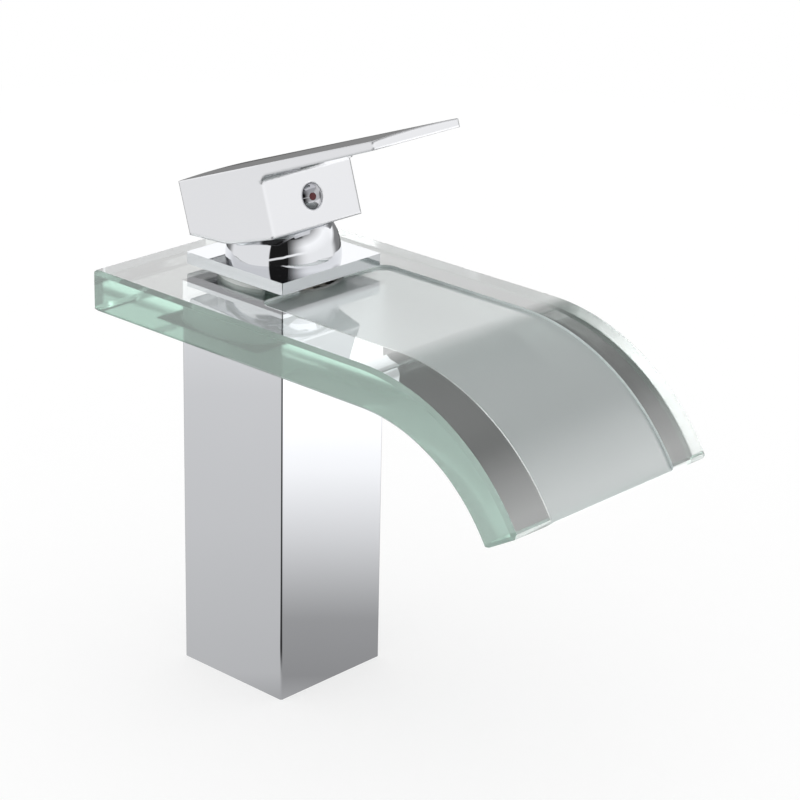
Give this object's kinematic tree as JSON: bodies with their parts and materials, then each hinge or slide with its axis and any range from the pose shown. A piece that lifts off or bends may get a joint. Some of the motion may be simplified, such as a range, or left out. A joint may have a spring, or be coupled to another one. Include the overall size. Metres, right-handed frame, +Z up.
{
  "type": "waterfall basin faucet",
  "caption": "Single-lever basin faucet: square chrome column, wide curved glass waterfall spout, square cover plate, domed cap, flat lever.",
  "frame": {"origin": "middle of the column's foot, on the deck", "axes": "+Z up; the spout and the lever point to -Y; hot inlet at -X, cold inlet at +X"},
  "size_m": [0.0966, 0.1953, 0.2125],
  "materials": {
    "chrome_plate": "polished chrome plate",
    "spout_glass": "clear float glass with ground arrises and a frosted channel",
    "brass": "machined",
    "riser_brass": "drawn tube",
    "black_rubber": "moulded EPDM",
    "clear_silicone": "translucent silicone",
    "white_plastic": "moulded",
    "cartridge_plastic": "moulded acetal",
    "alumina": "lapped",
    "steel": "stainless",
    "stem_steel": "die cast",
    "red_enamel": "enamel"
  },
  "bodies": {
    "fixed_body": {"column": "chrome_plate", "inlet_block": "brass", "foot_gasket": "black_rubber", "hot_riser": "riser_brass", "cold_riser": "riser_brass", "riser_seals": "black_rubber", "valve_core": "brass", "core_gasket": "black_rubber", "glass_gasket": "clear_silicone", "hole_sleeve": "white_plastic", "glass_spout": "spout_glass", "slot_spacer": "clear_silicone", "cover_plate": "chrome_plate", "clamp_nut": "brass", "dome_seal": "black_rubber", "dome_cap": "chrome_plate", "cartridge_nut": "brass", "cartridge_housing": "cartridge_plastic", "cartridge_base": "cartridge_plastic", "port_seals": "black_rubber", "fixed_disc": "alumina"},
    "rotor_body": {"rotor": "cartridge_plastic", "pivot_pin": "steel"},
    "disc_body": {"moving_disc": "alumina", "disc_carrier": "cartridge_plastic"},
    "handle_body": {"lever_stem": "stem_steel", "handle": "chrome_plate", "set_screw": "steel", "index_button": "chrome_plate", "index_dot": "red_enamel"}
  },
  "joints": [
    {"name": "temperature", "type": "hinge", "parent": "fixed_body", "child": "rotor_body", "pos_m": [0, 0, 0.1553], "axis": [0, 0, 1], "range_deg": [-45, 45]},
    {"name": "lift", "type": "hinge", "parent": "rotor_body", "child": "handle_body", "pos_m": [0, 0, 0.1553], "axis": [-1, 0, 0], "range_deg": [-17.4, 7.6]},
    {"name": "disc_slide", "type": "slide", "parent": "rotor_body", "child": "disc_body", "axis": [0, -1, 0], "range_m": [-0.00366, 0.0016]}
  ],
  "couplings": [
    {"joint": "disc_slide", "follows": "lift", "m_per_rad": 0.01192}
  ]
}
